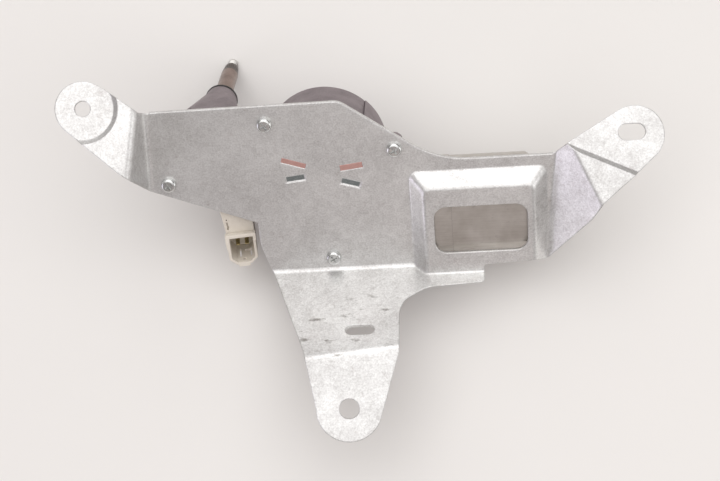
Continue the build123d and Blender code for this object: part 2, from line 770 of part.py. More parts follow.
with BuildPart() as can_screws:
    with BuildSketch(motor_face.offset(can_left + 2)):
        with PolarLocations(ear_reach, 2, start_angle=ear_from, angular_range=ear_spread,
                            endpoint=True):
            RegularPolygon(3.6, 6)
    extrude(amount=3)
    with BuildSketch(motor_face.offset(can_left + 2)):
        with PolarLocations(ear_reach, 2, start_angle=ear_from, angular_range=ear_spread,
                            endpoint=True):
            Circle(2.0)
    extrude(amount=-9)

with BuildPart() as magnets:
    with BuildSketch(motor_face.offset(73)) as magnet_plan:
        Circle(can_radius - can_wall)
        Rectangle(60, 2 * 17, mode=Mode.INTERSECT)
        Circle(17.3, mode=Mode.SUBTRACT)
    extrude(amount=26)

with BuildPart() as brush_card:
    with BuildSketch(motor_face.offset(57.2)):
        add(can_profile(can_radius - 2.3, can_flat - 2.3))
        Circle(11, mode=Mode.SUBTRACT)
    extrude(amount=2)
    for side in (-1, 1):
        with BuildSketch(motor_face.offset(59.2)):
            with Locations((side * 16.5, 0)):
                Rectangle(13, 7.4)
                Rectangle(14, 4.6, mode=Mode.SUBTRACT)
        extrude(amount=6.5)

with BuildPart() as brushes:
    for side in (-1, 1):
        with BuildSketch(motor_face.offset(59.4)):
            with Locations((side * 12.0, 0)):
                Rectangle(7.6, 4.4)
            Circle(8.1, mode=Mode.SUBTRACT)
        extrude(amount=5.6)

with BuildPart() as brush_springs:
    for side in (-1, 1):
        with Locations(Location((62.2, -centre_drop + side * spring_foot, motor_z),
                                (-90 * side, 0, 0))):
            Cylinder(1.7, can_radius - 4.5 - spring_foot,
                     align=(Align.CENTER, Align.CENTER, Align.MIN))

# ------------------------------------------------------------------ connector
plug_face = Plane(origin=(-48.0, -46.2, -3.5), x_dir=(1, 0, 0), z_dir=(0.14, -0.1, 0.985))
with BuildPart() as connector_shell:
    with BuildSketch(plug_face) as mouth:
        with BuildLine():
            Polyline((-7.9, 9.9), (7.9, 9.9), (7.9, -5.6), (4.2, -9.2), (-4.2, -9.2),
                     (-7.9, -5.6), close=True)
        make_face()
        fillet(mouth.vertices().group_by(Axis.Y)[-1], 1.2)
    extrude(amount=-24)
    with BuildSketch(flat.offset(neck_low)):
        with Locations(neck_centre):
            Rectangle(neck_width, neck_length)
    extrude(amount=neck_height)
    with BuildSketch(plug_face):
        with Locations((0, -9.6)):
            Rectangle(6.4, 2.2)
    extrude(amount=-5)
    with BuildSketch(plug_face) as bay:
        with BuildLine():
            Polyline((-6.4, 8.3), (6.4, 8.3), (6.4, -5.0), (3.6, -7.7), (-3.6, -7.7),
                     (-6.4, -5.0), close=True)
        make_face()
    extrude(amount=-18, mode=Mode.SUBTRACT)
    with BuildSketch(plug_face.offset(-22)):
        with GridLocations(5.0, 5.0, 2, 2):
            Rectangle(2.2, 0.7)
    extrude(amount=6, mode=Mode.SUBTRACT)
    with BuildSketch(plug_face.offset(-6)):
        with Locations((-3.4, -9), (3.4, -9)):
            Rectangle(1.0, 6)
    extrude(amount=-8, mode=Mode.SUBTRACT)
    with BuildSketch(plug_face.offset(-7)):
        with Locations((-8, 1.5)):
            Rectangle(4, 3)
    extrude(amount=-6, mode=Mode.SUBTRACT)

with BuildPart() as connector_terminals:
    with BuildSketch(plug_face.offset(-22)):
        with GridLocations(5.0, 5.0, 2, 2):
            Rectangle(2.2, 0.7)
    extrude(amount=12)

os.makedirs("parts", exist_ok=True)
pieces = {
    "mounting_bracket": mounting_bracket, "cover_gasket": cover_gasket, "gear_case": gear_case,
    "cover_screws": cover_screws, "worm_wheel": worm_wheel, "crank_pin": crank_pin,
    "wheel_axle": wheel_axle, "wheel_washer": wheel_washer, "park_disc": park_disc,
    "output_shaft": output_shaft, "output_pinion": output_pinion, "thrust_washer": thrust_washer,
    "shaft_clip": shaft_clip, "sleeve_bushes": sleeve_bushes, "shaft_seal": shaft_seal,
    "sector_gear": sector_gear, "sector_pin": sector_pin, "rod_pin": rod_pin,
    "connecting_rod": connecting_rod, "armature_shaft": armature_shaft,
    "armature_core": armature_core, "armature_windings": armature_windings,
    "commutator": commutator, "armature_bushes": armature_bushes, "rear_bush": rear_bush,
    "thrust_ball": thrust_ball, "thrust_screw": thrust_screw, "motor_can": motor_can,
    "can_screws": can_screws, "magnets": magnets, "brush_card": brush_card, "brushes": brushes,
    "brush_springs": brush_springs, "connector_shell": connector_shell,
    "connector_terminals": connector_terminals,
}
for name, piece in pieces.items():
    save(piece.part, name)
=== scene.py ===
"""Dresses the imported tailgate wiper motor: galvanised bracket, die-cast gear case, drawn motor can and plug."""

import functools
import json
import logging
import math
from dataclasses import dataclass, field
from enum import Enum

import bmesh
import bpy
from mathutils import Matrix, Vector

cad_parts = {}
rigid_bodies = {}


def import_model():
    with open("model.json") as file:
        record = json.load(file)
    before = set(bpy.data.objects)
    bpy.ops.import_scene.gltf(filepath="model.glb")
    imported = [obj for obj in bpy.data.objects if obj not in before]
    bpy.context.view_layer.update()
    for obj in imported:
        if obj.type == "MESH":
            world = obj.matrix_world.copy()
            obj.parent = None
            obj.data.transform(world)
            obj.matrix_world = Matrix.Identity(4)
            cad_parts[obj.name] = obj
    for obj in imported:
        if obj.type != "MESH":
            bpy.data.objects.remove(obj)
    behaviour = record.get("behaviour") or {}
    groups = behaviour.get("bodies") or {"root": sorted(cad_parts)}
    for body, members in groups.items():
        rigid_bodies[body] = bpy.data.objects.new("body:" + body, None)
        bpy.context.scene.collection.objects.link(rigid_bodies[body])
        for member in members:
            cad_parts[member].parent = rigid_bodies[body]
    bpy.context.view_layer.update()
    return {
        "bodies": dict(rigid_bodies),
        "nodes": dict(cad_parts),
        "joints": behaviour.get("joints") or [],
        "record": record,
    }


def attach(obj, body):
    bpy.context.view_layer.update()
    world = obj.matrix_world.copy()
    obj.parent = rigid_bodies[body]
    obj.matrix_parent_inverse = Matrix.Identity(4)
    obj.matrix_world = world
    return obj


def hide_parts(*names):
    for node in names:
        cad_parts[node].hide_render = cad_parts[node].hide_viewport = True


log = logging.getLogger("wiper_motor")

MM = 0.001
# The unit lies tilted on the bench: these take the bracket's own plane to the bench
BENCH_LEAN = math.radians(38.5)
BENCH_SHIFT = Vector((-22.748, 28.295, 64.352)) * MM
# Where the shafts stand in the bracket's plane, in millimetres
OUTPUT_AXIS = (-56.0, 25.7)
MOTOR_AXIS = (-33.5, -21.0)
# The size of the soil specks, and how far a shaft's tints run into each other
SPECK_MM = 5.5
ZONE_BLUR_MM = 0.4
# The rubs on the leg: size, stretch and turn, and where along the leg they come in and fade, in metres
RUB_MM = 9
RUB_STRETCH = (1.0, 3.8, 1.9)
RUB_TURN = math.radians(-12)
RUBS_START = (-0.060, -0.068)
RUBS_FADE = (-0.0765, -0.0785)

Pair = tuple[float, float]
Triple = tuple[float, float, float]
Outline = tuple[Pair, ...]
Shape = bmesh.types.BMesh
Socket = bpy.types.NodeSocket


def on_bench(shape: Shape) -> None:
    """Takes a mesh from the bracket's own plane, in millimetres, to the bench, in metres."""
    place = Matrix.Translation(BENCH_SHIFT) @ Matrix.Rotation(BENCH_LEAN, 4, "X") @ Matrix.Scale(MM, 4)
    bmesh.ops.transform(shape, matrix=place, verts=shape.verts)


def place_object(name: str, shape: Shape) -> bpy.types.Object:
    """Turns a mesh, which is freed, into an object in the scene."""
    mesh = bpy.data.meshes.new(name)
    shape.to_mesh(mesh)
    shape.free()
    thing = bpy.data.objects.new(name, mesh)
    bpy.context.scene.collection.objects.link(thing)
    return thing


def soften(shape: Shape, edges: list[bmesh.types.BMEdge], radius: float, segments: int = 2) -> None:
    """Rounds some of a mesh's edges."""
    bmesh.ops.bevel(shape, geom=edges, offset=radius, offset_type="OFFSET", segments=segments, profile=0.5,
                    affect="EDGES", material=-1)


def sweep(shape: Shape, axis: Triple, angle: float, steps: int, rise: Triple = (0.0, 0.0, 0.0),
          merge: bool = False) -> None:
    """Carries a section round an axis through the origin.

    Args:
        shape: the section, which becomes the swept mesh.
        axis: the direction of the axis.
        angle: how far round it goes, in radians.
        steps: the number of steps on the way.
        rise: how far each step moves the section on, in millimetres.
        merge: whether the last step joins the first.
    """
    bmesh.ops.spin(shape, geom=[*shape.verts, *shape.edges], cent=(0, 0, 0), axis=axis, dvec=rise, angle=angle,
                   steps=steps, use_merge=merge, use_duplicate=False)


def close_ends(shape: Shape, sides: int) -> None:
    """Closes the two open ends of a swept section that has this many sides."""
    bmesh.ops.holes_fill(shape, edges=[edge for edge in shape.edges if edge.is_boundary], sides=sides)


def draw_out(shape: Shape, faces: list[bmesh.types.BMFace], length: float) -> None:
    """Draws faces out along Z into a solid."""
    drawn = bmesh.ops.extrude_face_region(shape, geom=faces)["geom"]
    moved = [item for item in drawn if isinstance(item, bmesh.types.BMVert)]
    bmesh.ops.translate(shape, vec=(0, 0, length), verts=moved)
    bmesh.ops.recalc_face_normals(shape, faces=shape.faces)


def hoop(shape: Shape, radius: float, width: float, height: float,
         segments: int = 96) -> list[bmesh.types.BMVert]:
    """Adds a ring of rectangular section round the Z axis.

    Args:
        shape: the mesh that it is added to.
        radius: its inner radius, in millimetres.
        width: how far it reaches outwards.
        height: its length along the axis, centred on the origin.
        segments: steps round the ring.

    Returns:
        The ring's vertices.
    """
    ring = bmesh.new()
    bmesh.ops.create_circle(ring, segments=4, radius=math.sqrt(0.5))
    bmesh.ops.rotate(ring, matrix=Matrix.Rotation(math.pi / 4, 3, "Z"), verts=ring.verts)
    bmesh.ops.rotate(ring, matrix=Matrix.Rotation(math.pi / 2, 3, "X"), verts=ring.verts)
    bmesh.ops.scale(ring, vec=(width, 1, height), verts=ring.verts)
    bmesh.ops.translate(ring, vec=(radius + width / 2, 0, 0), verts=ring.verts)
    sweep(ring, (0, 0, 1), math.tau, segments, merge=True)
    bmesh.ops.remove_doubles(ring, verts=ring.verts, dist=1e-4)
    bmesh.ops.recalc_face_normals(ring, faces=ring.faces)
    return join(shape, ring)


def join(shape: Shape, other: Shape) -> list[bmesh.types.BMVert]:
    """Moves the other mesh into the shape and returns its vertices there."""
    carrier = bpy.data.meshes.new("carrier")
    other.to_mesh(carrier)
    other.free()
    before = len(shape.verts)
    shape.from_mesh(carrier)
    bpy.data.meshes.remove(carrier)
    shape.verts.ensure_lookup_table()
    return shape.verts[before:]


def block(shape: Shape, centre: Triple, size: Triple, soft: float = 0.15, turn: float = 0.0) -> None:
    """Adds a block with softened edges.

    Args:
        shape: the mesh that it is added to.
        centre: where its middle goes, in millimetres, before the turn.
        size: its sides.
        soft: the radius on its edges.
        turn: degrees that it turns about the Z axis.
    """
    body = bmesh.new()
    bmesh.ops.create_cube(body, size=1.0)
    bmesh.ops.scale(body, vec=size, verts=body.verts)
    if soft:
        soften(body, body.edges[:], soft)
    bmesh.ops.translate(body, vec=centre, verts=body.verts)
    bmesh.ops.rotate(body, matrix=Matrix.Rotation(math.radians(turn), 3, "Z"), verts=body.verts)
    join(shape, body)


def disc(shape: Shape, centre: Triple, radius: float, height: float) -> None:
    """Adds a flat disc with a softened rim, its axis along Z.

    Args:
        shape: the mesh that it is added to.
        centre: its middle, in millimetres.
        radius: its radius.
        height: its thickness.
    """
    body = bmesh.new()
    bmesh.ops.create_cone(body, cap_ends=True, segments=40, radius1=radius, radius2=radius, depth=height)
    rims = [edge for edge in body.edges if abs(edge.verts[0].co.z - edge.verts[1].co.z) < 1e-6]
    soften(body, rims, min(0.12, height * 0.3))
    bmesh.ops.translate(body, vec=centre, verts=body.verts)
    join(shape, body)


def linear(hex_code: str) -> tuple[float, float, float, float]:
    """Turns an sRGB hex colour to linear.

    Args:
        hex_code: six hex digits with a leading hash.

    Returns:
        The linear red, green, blue and an alpha of one.
    """
    channels = [int(hex_code[i:i + 2], 16) / 255 for i in (1, 3, 5)]
    return (*[c / 12.92 if c <= 0.04045 else ((c + 0.055) / 1.055) ** 2.4 for c in channels], 1.0)


def add_node(tree: bpy.types.NodeTree, kind: str, inputs: dict | None = None, **settings: object) -> bpy.types.Node:
    """Adds one node with its settings, values and links.

    Args:
        tree: the material's or world's node tree.
        kind: Blender's type name of the node.
        inputs: socket name or number to a value, or to the output that feeds it.
        settings: the node's own properties.

    Returns:
        The new node.
    """
    node = tree.nodes.new(kind)
    for name, value in settings.items():
        setattr(node, name, value)
    for name, value in (inputs or {}).items():
        if isinstance(value, Socket):
            tree.links.new(value, node.inputs[name])
        else:
            node.inputs[name].default_value = value
    return node


def clean_tree(owner: bpy.types.Material | bpy.types.World) -> bpy.types.NodeTree:
    """Turns on the nodes of a material or a world and empties its tree."""
    owner.use_nodes = True
    owner.node_tree.nodes.clear()
    return owner.node_tree


def mix_colours(tree: bpy.types.NodeTree, share: Socket, under: Socket | tuple, over: Socket | tuple) -> Socket:
    """Lays one colour over another by a share from 0 to 1."""
    return add_node(tree, "ShaderNodeMix", {0: share, 6: under, 7: over}, data_type="RGBA").outputs[2]


def mix_numbers(tree: bpy.types.NodeTree, share: Socket | float, under: Socket, over: Socket) -> Socket:
    """Goes from one number to another by a share from 0 to 1."""
    return add_node(tree, "ShaderNodeMix", {0: share, 2: under, 3: over}, data_type="FLOAT").outputs[0]


def remap(tree: bpy.types.NodeTree, value: Socket, span: Pair, low: float = 0.0, high: float = 1.0) -> Socket:
    """Maps a value's span to the numbers from low to high."""
    return add_node(tree, "ShaderNodeMapRange", {"Value": value, "From Min": span[0], "From Max": span[1],
                    "To Min": low, "To Max": high}).outputs[0]


def noise(tree: bpy.types.NodeTree, place: Socket, scale: float, detail: float, roughness: float) -> Socket:
    """Adds soft noise from 0 to 1."""
    return add_node(tree, "ShaderNodeTexNoise", {"Vector": place, "Scale": scale, "Detail": detail,
                    "Roughness": roughness}).outputs["Fac"]


class Pattern(Enum):
    """How a surface was made, which decides the pattern that shows on it."""

    SPANGLED = "hot-dip zinc crystals"
    CAST = "die-cast or pressed grain"
    TURNED = "rings of a lathe tool"
    DRAWN = "streaks of a drawing die"
    WOUND = "turns of wire"
    STACKED = "edges of stacked sheets"
    MOULDED = "fine spark-eroded mould skin"


class Along(Enum):
    """The direction that rings, streaks or layers follow, in the bracket's plane."""

    SHAFT = (0.0, math.radians(90), 0.0)
    MOTOR = (0.0, 0.0, 0.0)


@dataclass(frozen=True)
class Finish:
    """One real material and surface; its two colours drift into each other in patches."""

    name: str
    pattern: Pattern
    light: str
    dark: str
    soil: str = "#3A332E"
    metallic: float = 1.0
    rough: Pair = (0.3, 0.45)
    grain_mm: float = 0.8
    patch_mm: float = 14.0
    bump_mm: float = 0.02
    soiling: float = 0.1
    along: Along = Along.SHAFT
    coat: float = 0.0
    grain_share: float = 0.5
    edge_mm: float = 0.0
    rubs: str = ""
    zones: tuple[tuple[float, str], ...] = ()

    def build(self) -> bpy.types.Material:
        """Builds the node material.

        Returns:
            The material, ready to be put on a piece.
        """
        material = bpy.data.materials.new(self.name)
        tree = clean_tree(material)
        place = add_node(tree, "ShaderNodeTexCoord").outputs["Object"]
        plane = add_node(tree, "ShaderNodeMapping", {"Vector": place, "Location": BENCH_SHIFT,
                         "Rotation": (BENCH_LEAN, 0, 0)}, vector_type="TEXTURE").outputs[0]
        height = self.relief(tree, plane)
        patch = noise(tree, plane, 1 / (self.patch_mm * MM), 4.0, 0.62)
        half = mix_numbers(tree, self.grain_share, remap(tree, patch, (0.3, 0.7)), height)
        tone = mix_colours(tree, half, linear(self.dark), linear(self.light))
        # Soil gathers in small irregular specks
        speck = noise(tree, plane, 1 / (SPECK_MM * MM), 6.0, 0.7)
        dirt = remap(tree, speck, (0.60, 0.78), high=self.soiling)
        soiled = mix_colours(tree, dirt, tone, linear(self.soil))
        soiled = self.rubbed(tree, plane, self.zoned(tree, plane, soiled))
        rough = remap(tree, half, (0.0, 1.0), self.rough[1], self.rough[0])
        relief = {"Height": height, "Strength": 1.0, "Distance": self.bump_mm * MM}
        if self.edge_mm:
            relief["Normal"] = add_node(tree, "ShaderNodeBevel", {"Radius": self.edge_mm * MM}, samples=6).outputs[0]
        bump = add_node(tree, "ShaderNodeBump", relief).outputs[0]
        shader = add_node(tree, "ShaderNodeBsdfPrincipled", {"Base Color": soiled, "Roughness": rough,
                          "Metallic": self.metallic, "Normal": bump, "Coat Weight": self.coat,
                          "Coat Roughness": 0.25})
        add_node(tree, "ShaderNodeOutputMaterial", {"Surface": shader.outputs[0]})
        return material

    def zoned(self, tree: bpy.types.NodeTree, plane: Socket, colour: Socket) -> Socket:
        """Tints lengths of a shaft, from the bracket outwards.

        Args:
            tree: the material's node tree.
            plane: coordinates in the bracket's plane, in metres.
            colour: the colour so far.

        Returns:
            The colour with the tints in it.
        """
        depth = add_node(tree, "ShaderNodeSeparateXYZ", {"Vector": plane}).outputs[2]
        for below, tint in self.zones:
            share = remap(tree, depth, ((below + ZONE_BLUR_MM) * MM, (below - ZONE_BLUR_MM) * MM))
            colour = mix_colours(tree, share, colour, linear(tint))
        return colour

    def rubbed(self, tree: bpy.types.NodeTree, plane: Socket, colour: Socket) -> Socket:
        """Adds long greasy rubs, a few millimetres each, over the leg of the bracket.

        Args:
            tree: the material's node tree.
            plane: coordinates in the bracket's plane, in metres.
            colour: the colour so far.

        Returns:
            The colour with the rubs in it.
        """
        if not self.rubs:
            return colour
        drawn = add_node(tree, "ShaderNodeMapping", {"Vector": plane, "Rotation": (0, 0, RUB_TURN),
                         "Scale": RUB_STRETCH}).outputs[0]
        rub = remap(tree, noise(tree, drawn, 1 / (RUB_MM * MM), 5.0, 0.62), (0.6, 0.7), high=0.65)
        up = add_node(tree, "ShaderNodeSeparateXYZ", {"Vector": plane}).outputs[1]
        leg = remap(tree, up, RUBS_START)
        pad = remap(tree, up, RUBS_FADE, 1.0, 0.2)
        worn = add_node(tree, "ShaderNodeMath", {0: rub, 1: leg}, operation="MULTIPLY").outputs[0]
        share = add_node(tree, "ShaderNodeMath", {0: worn, 1: pad}, operation="MULTIPLY").outputs[0]
        return mix_colours(tree, share, colour, linear(self.rubs))

    def relief(self, tree: bpy.types.NodeTree, plane: Socket) -> Socket:
        """Adds the fine pattern that the surface's making leaves.

        Args:
            tree: the material's node tree.
            plane: coordinates in the bracket's plane, in metres.

        Returns:
            A height from 0 to 1.
        """
        scale = 1 / (self.grain_mm * MM)
        if self.pattern is Pattern.SPANGLED:
            cell = add_node(tree, "ShaderNodeTexVoronoi", {"Vector": plane, "Scale": scale / 2.4,
                            "Randomness": 1.0}).outputs["Color"]
            flake = add_node(tree, "ShaderNodeSeparateColor", {"Color": cell}).outputs[0]
            sharp = remap(tree, noise(tree, plane, scale, 3.0, 0.6), (0.32, 0.68))
            return mix_numbers(tree, 0.3, sharp, flake)
        if self.pattern in (Pattern.CAST, Pattern.MOULDED):
            return noise(tree, plane, scale, 3.0, 0.6)
        turned = add_node(tree, "ShaderNodeMapping", {"Vector": plane, "Rotation": self.along.value}).outputs[0]
        if self.pattern is Pattern.DRAWN:
            stretched = add_node(tree, "ShaderNodeMapping", {"Vector": turned, "Scale": (0.03, 1, 1)}).outputs[0]
            return noise(tree, stretched, scale, 4.0, 0.65)
        return add_node(tree, "ShaderNodeTexWave", {"Vector": turned, "Scale": scale / math.tau,
                        "Distortion": 0.6, "Detail": 2.0, "Detail Scale": 2.0},
                        bands_direction="X").outputs["Fac"]


@functools.cache
def material_of(finish: Finish) -> bpy.types.Material:
    """Gives a finish's material, built once."""
    return finish.build()


# Hot-dip galvanised sheet: a grey skin with small crystals, a little soiled, edges and bends alike
GALVANISED = Finish("galvanised_steel_sheet", Pattern.SPANGLED, "#F0F0EF", "#B3B0AE",
                    soil="#7A5F55", metallic=0.74, rough=(0.28, 0.42), grain_mm=0.9, patch_mm=30.0,
                    bump_mm=0.03, soiling=0.35, grain_share=0.62, edge_mm=1.0, rubs="#5C554A")
# Coined faces of the stamped marks: flattened zinc, smooth on the bars, grey in the frames; the bars' pale red-brown
# tint is a painted reflection of a red cloth
COINED_BAR = Finish("coined_zinc_bar_painted_red_reflection", Pattern.SPANGLED, "#EBC2BB", "#D9A9A1", rough=(0.3, 0.4), grain_mm=0.6,
                    patch_mm=5.0, bump_mm=0.01, soiling=0.2)
COINED_FRAME = Finish("coined_zinc_frame", Pattern.SPANGLED, "#A3A9A9", "#6E7575", rough=(0.35, 0.5),
                      grain_mm=0.7, patch_mm=4.0, bump_mm=0.03, soiling=0.2)
# Pressure die casting: a dull grey with a little mauve and flow patches
DIE_CAST = Finish("cast_aluminium_skin", Pattern.CAST, "#A69C9F", "#82797C", metallic=0.85, rough=(0.46, 0.62),
                  grain_mm=0.7, patch_mm=10.0, bump_mm=0.05, soiling=0.45, edge_mm=0.4)
# Bright zinc plating over a cold-headed screw
BRIGHT_ZINC = Finish("zinc_plated_screw_steel", Pattern.CAST, "#E6E6E2", "#B4B6B8", rough=(0.16, 0.32),
                     grain_mm=0.5, patch_mm=4.0, bump_mm=0.012, soiling=0.4)
# Deep-drawn steel cup with zinc over it: streaks round the motor
DRAWN_CAN = Finish("drawn_zinc_plated_steel", Pattern.DRAWN, "#DAD7D2", "#A9A199", rough=(0.3, 0.46),
                   grain_mm=0.7, patch_mm=16.0, bump_mm=0.02, soiling=0.35, along=Along.MOTOR)
# Ground and turned shaft steel, warm from its oil
TURNED_SHAFT = Finish("turned_shaft_steel", Pattern.TURNED, "#B7AEA6", "#6E6259", rough=(0.2, 0.36),
                      grain_mm=0.45, patch_mm=6.0, bump_mm=0.01, soiling=0.35)
# The wiper spindle: oily body, dark fluted taper, bright threaded end
SPINDLE = Finish("wiper_spindle_steel", Pattern.TURNED, "#A08D84", "#6C5A52", rough=(0.22, 0.38),
                 grain_mm=0.5, patch_mm=6.0, bump_mm=0.012, soiling=0.35,
                 zones=((-81.5, "#4B4139"), (-91.8, "#D5D3CF")))
TURNED_ARMATURE = Finish("ground_armature_steel", Pattern.TURNED, "#C6C4C1", "#8E8A86", rough=(0.18, 0.3),
                         grain_mm=0.4, patch_mm=6.0, bump_mm=0.008, along=Along.MOTOR)
SPRING_STEEL = Finish("bright_spring_steel", Pattern.CAST, "#CFCFCD", "#8D8D8C", rough=(0.2, 0.35), grain_mm=0.4,
                      patch_mm=4.0, bump_mm=0.008)
SINTERED_BRONZE = Finish("oil_filled_bronze", Pattern.CAST, "#A9824F", "#6B4C29", rough=(0.4, 0.55), grain_mm=0.35,
                         patch_mm=5.0, bump_mm=0.03)
# Nitrile rubber: black, dull, with a grey bloom
NITRILE = Finish("nitrile_rubber", Pattern.MOULDED, "#2B2A2A", "#161515",
                 soil="#5B5753", metallic=0.0, rough=(0.55, 0.75), grain_mm=0.5, patch_mm=6.0, bump_mm=0.02,
                 soiling=0.3)
# Acetal gear: milky white and waxy
ACETAL = Finish("acetal_gear_plastic", Pattern.MOULDED, "#E9E5DA", "#D6D0C0",
                soil="#8A7A5C", metallic=0.0, rough=(0.32, 0.45), grain_mm=0.5, patch_mm=12.0, bump_mm=0.008,
                soiling=0.3)
# Polyester connector housing: ivory with a soft sheen
IVORY_POLYESTER = Finish("ivory_polyester", Pattern.MOULDED, "#E4DDD2", "#CCC3B6",
                         soil="#6E5C4E", metallic=0.0, rough=(0.34, 0.5), grain_mm=0.45, patch_mm=9.0, bump_mm=0.012,
                         soiling=0.35)
PHENOLIC = Finish("black_phenolic_card", Pattern.MOULDED, "#3A3836", "#24221F",
                  soil="#6A6258", metallic=0.0, rough=(0.45, 0.6), grain_mm=0.4, patch_mm=8.0, bump_mm=0.012,
                  soiling=0.2)
CARBON = Finish("pressed_carbon", Pattern.CAST, "#3B3B3D", "#202021",
                soil="#555555", metallic=0.2, rough=(0.4, 0.55), grain_mm=0.3, patch_mm=3.0, bump_mm=0.02,
                soiling=0.2)
FERRITE = Finish("ferrite_magnet", Pattern.CAST, "#3C3B3D", "#232225",
                 soil="#5C5652", metallic=0.1, rough=(0.5, 0.65), grain_mm=0.5, patch_mm=8.0, bump_mm=0.03,
                 soiling=0.2)
ENAMELLED_WIRE = Finish("enamelled_copper_wire", Pattern.WOUND, "#C06A34", "#6A2E12", rough=(0.2, 0.35),
                        grain_mm=0.6, patch_mm=5.0, bump_mm=0.12, along=Along.SHAFT, coat=0.4)
LAMINATIONS = Finish("laminated_core_steel", Pattern.STACKED, "#8C8A88", "#4C4A49", rough=(0.35, 0.5),
                     grain_mm=0.5, patch_mm=8.0, bump_mm=0.05, along=Along.MOTOR)
COMMUTATOR_COPPER = Finish("drawn_commutator_copper", Pattern.TURNED, "#C9855A", "#8A4B2B", rough=(0.22, 0.34),
                           grain_mm=0.35, patch_mm=4.0, bump_mm=0.01, along=Along.MOTOR)
TINNED_BRASS = Finish("tinned_brass", Pattern.DRAWN, "#CFC49C", "#9C8E62", rough=(0.22, 0.35), grain_mm=0.4,
                      patch_mm=4.0, bump_mm=0.008, along=Along.SHAFT)
# Hot-rolled strip for the rod and sector: dark mill skin, bright where it rubs
MILL_STRIP = Finish("pickled_steel_strip", Pattern.DRAWN, "#9B9792", "#5E5A56", rough=(0.3, 0.45), grain_mm=0.6,
                    patch_mm=8.0, bump_mm=0.015, along=Along.MOTOR)


@dataclass
class SubAssembly:
    """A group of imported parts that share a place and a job."""

    frame: dict
    finishes: dict[str, Finish] = field(default_factory=dict)

    def add(self, name: str, shape: Shape, finish: Finish, body: str, slot: str,
            stands_for: tuple[str, ...] = (), smooth: bool = False) -> bpy.types.Object:
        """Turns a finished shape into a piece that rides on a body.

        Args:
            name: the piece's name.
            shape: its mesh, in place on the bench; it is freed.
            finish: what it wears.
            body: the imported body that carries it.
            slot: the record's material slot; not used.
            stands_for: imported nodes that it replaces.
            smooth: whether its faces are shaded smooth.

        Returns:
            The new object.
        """
        for face in shape.faces:
            face.smooth = smooth
        piece = place_object(name, shape)
        piece.data.materials.append(material_of(finish))
        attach(piece, body)
        if stands_for:
            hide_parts(*stands_for)
        log.info("%s wears %s", name, finish.name)
        return piece

    def dress(self) -> None:
        """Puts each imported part's finish on it."""
        for node, finish in self.finishes.items():
            piece = self.frame["nodes"][node]
            piece.data.materials.clear()
            piece.data.materials.append(material_of(finish))
            log.info("%s wears %s", node, finish.name)


@dataclass(frozen=True)
class Mark:
    """One stamped mark of the bracket: centre, length, width and turn, in millimetres and degrees."""

    centre: Pair
    length: float
    width: float
    turn: float


@dataclass
class Bracket(SubAssembly):
    """The three-legged pressed bracket, its screws and the gasket under it."""

    bars: tuple[Mark, ...] = (Mark((-14.6, 5.9), 13.4, 2.9, -19), Mark((15.6, 2.3), 12.2, 3.3, 7))
    frames: tuple[Mark, ...] = (Mark((-14.5, -2.9), 11.0, 4.2, 6), Mark((14.6, -7.1), 11.0, 4.2, -17))
    # How far a coined face stays from its mark's sides, and its underside and upper face
    bar_seat: Triple = (0.12, -0.32, -0.08)
    frame_seat: Triple = (0.75, -0.62, -0.34)

    def __post_init__(self) -> None:
        """Names the finishes."""
        self.finishes = {"mounting_bracket": GALVANISED, "cover_screws": BRIGHT_ZINC, "cover_gasket": NITRILE}

    def coin(self, name: str, mark: Mark, seat: Triple, finish: Finish) -> None:
        """Lays one coined face in the bottom of a stamped mark.

        Args:
            name: the piece's name.
            mark: the mark that it lies in.
            seat: how far it stays from the mark's sides, its underside and its upper face, in millimetres.
            finish: what it wears.
        """
        inset, low, high = seat
        shape = bmesh.new()
        size = (mark.length - 2 * inset, mark.width - 2 * inset, high - low)
        bmesh.ops.create_cube(shape, size=1.0)
        bmesh.ops.scale(shape, vec=size, verts=shape.verts)
        rim = [edge for edge in shape.edges if all(vert.co.z > 0 for vert in edge.verts)]
        soften(shape, rim, min(0.12, size[2] * 0.6))
        turn = Matrix.Rotation(math.radians(mark.turn), 4, "Z")
        place = Matrix.Translation((*mark.centre, (low + high) / 2)) @ turn
        bmesh.ops.transform(shape, matrix=place, verts=shape.verts)
        on_bench(shape)
        self.add(name, shape, finish, "housing", "zinc_plated_sheet")

    def dress(self) -> None:
        """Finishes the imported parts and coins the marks."""
        super().dress()
        for number, mark in enumerate(self.bars, 1):
            # The bars' coined faces carry a painted reflection of a red cloth in their pale red-brown colour
            self.coin(f"coined_bar_{number}", mark, self.bar_seat, COINED_BAR)
        for number, mark in enumerate(self.frames, 1):
            self.coin(f"coined_frame_{number}", mark, self.frame_seat, COINED_FRAME)


